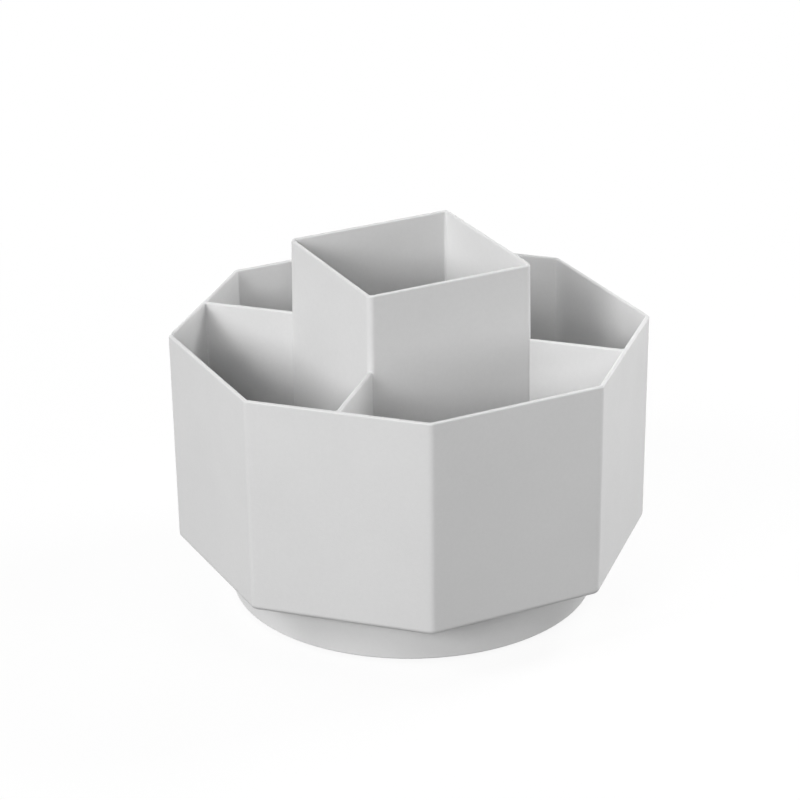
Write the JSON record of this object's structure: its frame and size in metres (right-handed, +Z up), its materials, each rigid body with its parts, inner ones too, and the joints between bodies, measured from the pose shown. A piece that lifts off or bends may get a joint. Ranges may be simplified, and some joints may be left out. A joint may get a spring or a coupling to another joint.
{
  "type": "rotating pen holder",
  "caption": "Octagonal desk pen holder with a taller square tower and diagonal dividers, turning on a round ball-bearing base.",
  "frame": {"origin": "centre of the round base, on the surface that its feet stand on", "axes": "+Z up along the turning axis; X and Y square to the faces of the tower, with the dividers on the diagonals"},
  "size_m": [0.14, 0.14, 0.1127],
  "materials": {
    "organizer_plastic": "fine matt moulded ABS, light grey",
    "base_plastic": "fine matt moulded ABS, light grey",
    "race_plastic": "natural white acetal, smooth",
    "cage_plastic": "natural nylon, smooth",
    "screw_steel": "zinc-plated steel",
    "ball_steel": "polished bearing steel",
    "bush_brass": "turned brass",
    "foot_rubber": "matt anti-slip rubber"
  },
  "bodies": {
    "base": {"base_shell": "base_plastic", "lower_race_ring": "race_plastic", "pivot_bush": "bush_brass", "thrust_washer": "screw_steel", "rubber_foot_1": "foot_rubber", "rubber_foot_2": "foot_rubber", "rubber_foot_3": "foot_rubber", "rubber_foot_4": "foot_rubber"},
    "organizer": {"organizer_cup": "organizer_plastic", "upper_race_plate": "race_plastic", "plate_screws": "screw_steel", "pivot_screw": "screw_steel"},
    "ball_ring": {"ball_cage": "cage_plastic", "bearing_ball_01": "ball_steel", "bearing_ball_02": "ball_steel", "bearing_ball_03": "ball_steel", "bearing_ball_04": "ball_steel", "bearing_ball_05": "ball_steel", "bearing_ball_06": "ball_steel", "bearing_ball_07": "ball_steel", "bearing_ball_08": "ball_steel", "bearing_ball_09": "ball_steel", "bearing_ball_10": "ball_steel", "bearing_ball_11": "ball_steel", "bearing_ball_12": "ball_steel"}
  },
  "joints": [
    {"name": "swivel", "type": "hinge", "parent": "base", "child": "organizer", "pos_m": [0, 0, 0.0178], "axis": [0, 0, 1], "continuous": true},
    {"name": "ball_ring_turn", "type": "hinge", "parent": "base", "child": "ball_ring", "pos_m": [0, 0, 0.01286], "axis": [0, 0, 1], "continuous": true}
  ],
  "couplings": [
    {"joint": "ball_ring_turn", "follows": "swivel", "ratio": 0.5}
  ]
}
